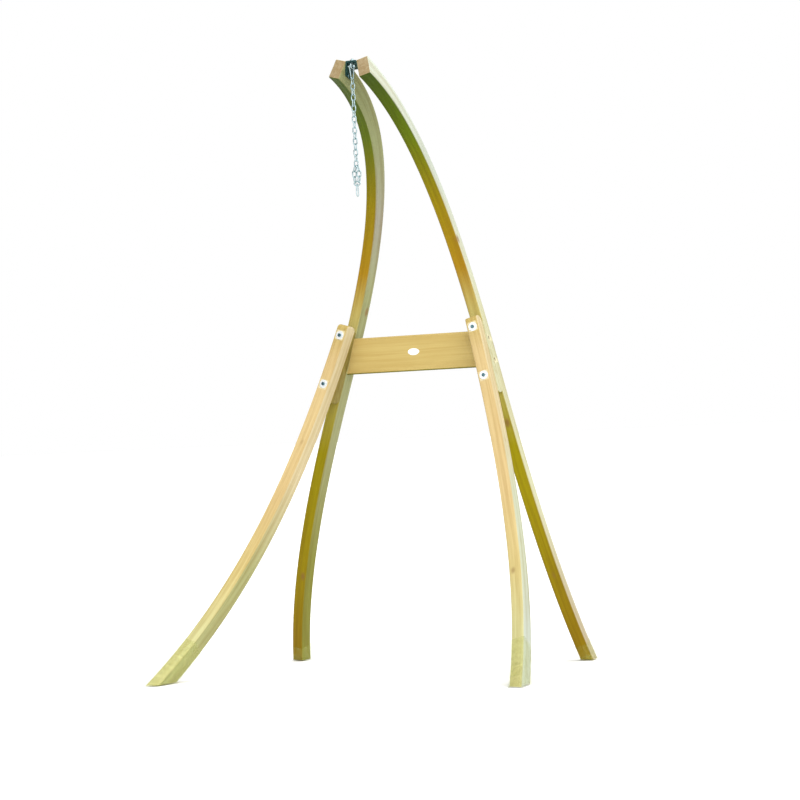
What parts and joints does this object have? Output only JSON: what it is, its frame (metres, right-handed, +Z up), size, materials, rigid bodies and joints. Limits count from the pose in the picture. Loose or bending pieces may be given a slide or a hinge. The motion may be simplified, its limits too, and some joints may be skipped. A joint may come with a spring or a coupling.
{
  "type": "hanging chair stand",
  "caption": "Freestanding timber stand for a hanging chair: two leaning bent side frames joined by a plank, with a chain and snap hook under a steel crown bracket.",
  "frame": {"origin": "bottom centre of the bounding box, on the ground under the middle of the stand", "axes": "+Z up, +X to the right across the stand, -Y towards the front, where the chain hangs"},
  "size_m": [1.5558, 1.037, 2.3395],
  "materials": {
    "larch": "oiled softwood, satin",
    "larch_plank": "oiled softwood, satin",
    "clear_plastic": "clear, glossy",
    "badge": "smooth, glossy",
    "dark_steel": "dark coating, satin",
    "zinc": "bright zinc plating"
  },
  "bodies": {
    "stand": {"mast_left": "larch", "front_leg_left": "larch", "spacer_left": "larch", "front_foot_cap_left": "clear_plastic", "rear_foot_cap_left": "clear_plastic", "clamp_bolt_upper_left": "zinc", "clamp_washer_upper_left": "zinc", "clamp_nut_upper_left": "zinc", "clamp_bolt_lower_left": "zinc", "clamp_washer_lower_left": "zinc", "clamp_nut_lower_left": "zinc", "plank_bolt_upper_left": "zinc", "plank_bolt_lower_left": "zinc", "bracket_screw_left": "zinc", "mast_right": "larch", "front_leg_right": "larch", "spacer_right": "larch", "front_foot_cap_right": "clear_plastic", "rear_foot_cap_right": "clear_plastic", "clamp_bolt_upper_right": "zinc", "clamp_washer_upper_right": "zinc", "clamp_nut_upper_right": "zinc", "clamp_bolt_lower_right": "zinc", "clamp_washer_lower_right": "zinc", "clamp_nut_lower_right": "zinc", "plank_bolt_upper_right": "zinc", "plank_bolt_lower_right": "zinc", "bracket_screw_right": "zinc", "cross_plank": "larch_plank", "plank_badge": "badge", "crown_bracket": "dark_steel", "eye_bolt": "zinc", "eye_nut": "zinc"},
    "shackle": {"shackle": "zinc", "shackle_pin": "zinc"},
    "link_01": {"link_01": "zinc"},
    "link_02": {"link_02": "zinc"},
    "link_03": {"link_03": "zinc"},
    "link_04": {"link_04": "zinc"},
    "link_05": {"link_05": "zinc"},
    "link_06": {"link_06": "zinc"},
    "link_07": {"link_07": "zinc"},
    "link_08": {"link_08": "zinc"},
    "link_09": {"link_09": "zinc"},
    "link_10": {"link_10": "zinc"},
    "link_11": {"link_11": "zinc"},
    "link_12": {"link_12": "zinc"},
    "link_13": {"link_13": "zinc"},
    "link_14": {"link_14": "zinc"},
    "link_15": {"link_15": "zinc"},
    "link_16": {"link_16": "zinc"},
    "loop": {"loop_link_left_1": "zinc", "loop_link_left_2": "zinc", "loop_link_left_3": "zinc", "loop_link_right_1": "zinc", "loop_link_right_2": "zinc", "loop_link_right_3": "zinc", "loop_link_bottom": "zinc"},
    "snap_hook": {"snap_hook": "zinc"},
    "snap_gate": {"snap_hook_gate": "zinc"}
  },
  "joints": [
    {"name": "shackle_swing", "type": "hinge", "parent": "stand", "child": "shackle", "pos_m": [0, -0.07269, 2.30595], "axis": [1, 0, 0], "range_deg": [-40, 40]},
    {"name": "link_01_swing", "type": "hinge", "parent": "shackle", "child": "link_01", "pos_m": [0, -0.07269, 2.25895], "axis": [-1, 0, 0], "range_deg": [-30, 30]},
    {"name": "link_02_swing", "type": "hinge", "parent": "link_01", "child": "link_02", "pos_m": [0, -0.07269, 2.2382], "axis": [0, 1, 0], "range_deg": [-30, 30]},
    {"name": "link_03_swing", "type": "hinge", "parent": "link_02", "child": "link_03", "pos_m": [0, -0.07269, 2.2172], "axis": [1, 0, 0], "range_deg": [-30, 30]},
    {"name": "link_04_swing", "type": "hinge", "parent": "link_03", "child": "link_04", "pos_m": [0, -0.07269, 2.1962], "axis": [0, -1, 0], "range_deg": [-30, 30]},
    {"name": "link_05_swing", "type": "hinge", "parent": "link_04", "child": "link_05", "pos_m": [0, -0.07269, 2.17521], "axis": [-1, 0, 0], "range_deg": [-30, 30]},
    {"name": "link_06_swing", "type": "hinge", "parent": "link_05", "child": "link_06", "pos_m": [0, -0.07269, 2.15421], "axis": [0, 1, 0], "range_deg": [-30, 30]},
    {"name": "link_07_swing", "type": "hinge", "parent": "link_06", "child": "link_07", "pos_m": [0, -0.07269, 2.1332], "axis": [1, 0, 0], "range_deg": [-30, 30]},
    {"name": "link_08_swing", "type": "hinge", "parent": "link_07", "child": "link_08", "pos_m": [0, -0.07269, 2.1122], "axis": [0, -1, 0], "range_deg": [-30, 30]},
    {"name": "link_09_swing", "type": "hinge", "parent": "link_08", "child": "link_09", "pos_m": [0, -0.07269, 2.0912], "axis": [-1, 0, 0], "range_deg": [-30, 30]},
    {"name": "link_10_swing", "type": "hinge", "parent": "link_09", "child": "link_10", "pos_m": [0, -0.07269, 2.07021], "axis": [0, 1, 0], "range_deg": [-30, 30]},
    {"name": "link_11_swing", "type": "hinge", "parent": "link_10", "child": "link_11", "pos_m": [0, -0.07269, 2.04921], "axis": [1, 0, 0], "range_deg": [-30, 30]},
    {"name": "link_12_swing", "type": "hinge", "parent": "link_11", "child": "link_12", "pos_m": [0, -0.07269, 2.0282], "axis": [0, -1, 0], "range_deg": [-30, 30]},
    {"name": "link_13_swing", "type": "hinge", "parent": "link_12", "child": "link_13", "pos_m": [0, -0.07269, 2.0072], "axis": [-1, 0, 0], "range_deg": [-30, 30]},
    {"name": "link_14_swing", "type": "hinge", "parent": "link_13", "child": "link_14", "pos_m": [0, -0.07269, 1.9862], "axis": [0, 1, 0], "range_deg": [-30, 30]},
    {"name": "link_15_swing", "type": "hinge", "parent": "link_14", "child": "link_15", "pos_m": [0, -0.07269, 1.96521], "axis": [1, 0, 0], "range_deg": [-30, 30]},
    {"name": "link_16_swing", "type": "hinge", "parent": "link_15", "child": "link_16", "pos_m": [0, -0.07269, 1.9442], "axis": [0, -1, 0], "range_deg": [-30, 30]},
    {"name": "loop_swing", "type": "hinge", "parent": "link_16", "child": "loop", "pos_m": [0, -0.07269, 1.92321], "axis": [-1, 0, 0], "range_deg": [-25, 25]},
    {"name": "snap_hook_swing", "type": "hinge", "parent": "loop", "child": "snap_hook", "pos_m": [0, -0.07269, 1.85358], "axis": [1, 0, 0], "range_deg": [-35, 35]},
    {"name": "snap_gate_open", "type": "hinge", "parent": "snap_hook", "child": "snap_gate", "pos_m": [0, -0.06628, 1.84339], "axis": [-1, 0, 0], "range_deg": [0, 28], "stiffness_Nm_per_rad": 0.02, "springref_deg": -17.19}
  ]
}
